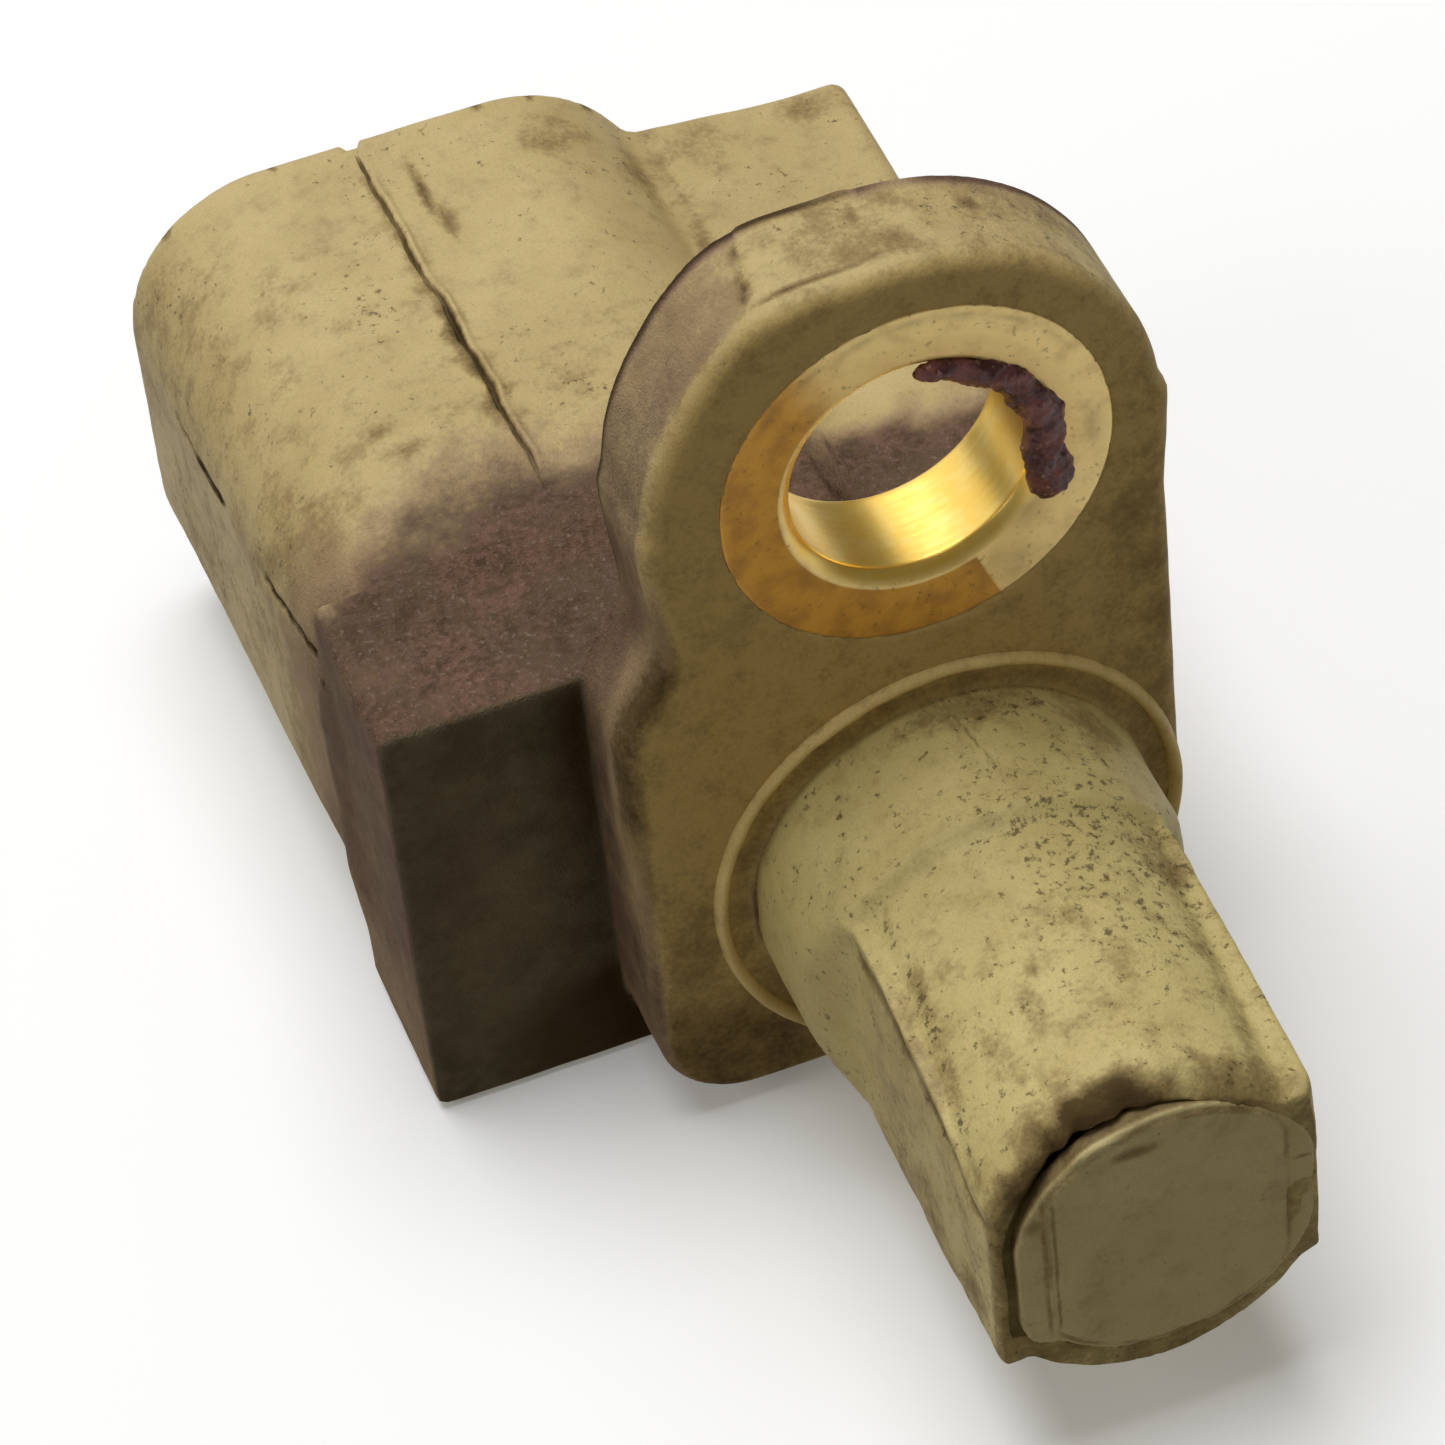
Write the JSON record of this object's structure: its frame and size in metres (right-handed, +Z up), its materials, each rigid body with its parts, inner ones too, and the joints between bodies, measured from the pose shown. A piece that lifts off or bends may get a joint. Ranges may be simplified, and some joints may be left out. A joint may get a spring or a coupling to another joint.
{
  "type": "wheel speed sensor",
  "caption": "Plug-in wheel speed sensor: moulded body with a bushed bolt ear, a flat-sided probe and a connector socket facing backwards.",
  "frame": {"origin": "middle of the bounding box's underside: centred left to right and front to back, at the level of the connector's underside", "axes": "+X to the right seen from the probe's side, +Y from the probe's tip towards the connector's mouth, along the bolt and probe axes, +Z up towards the bolt ear"},
  "size_m": [0.0204, 0.0384, 0.0257],
  "materials": {
    "housing_plastic": "glass-filled nylon, aged cream, with brown road dirt and brake dust",
    "bush_brass": "machined, bright in the bore, stained on its face",
    "carrier_plastic": "moulded, dusty",
    "chip_package": "moulded epoxy",
    "magnet_ferrite": "sintered ferrite, ground",
    "capacitor_body": "moulded epoxy",
    "lead_tinned": "tinned copper alloy",
    "terminal_tinned": "stamped copper alloy, tin plated",
    "comb_plastic": "moulded, black"
  },
  "bodies": {
    "root": {"sensor_housing": "housing_plastic", "compression_bush": "bush_brass", "insert_carrier": "carrier_plastic", "sensing_chip": "chip_package", "bias_magnet": "magnet_ferrite", "filter_capacitor": "capacitor_body", "chip_lead_supply": "lead_tinned", "chip_lead_signal": "lead_tinned", "terminal_supply": "terminal_tinned", "terminal_signal": "terminal_tinned", "terminal_comb": "comb_plastic"}
  },
  "joints": []
}
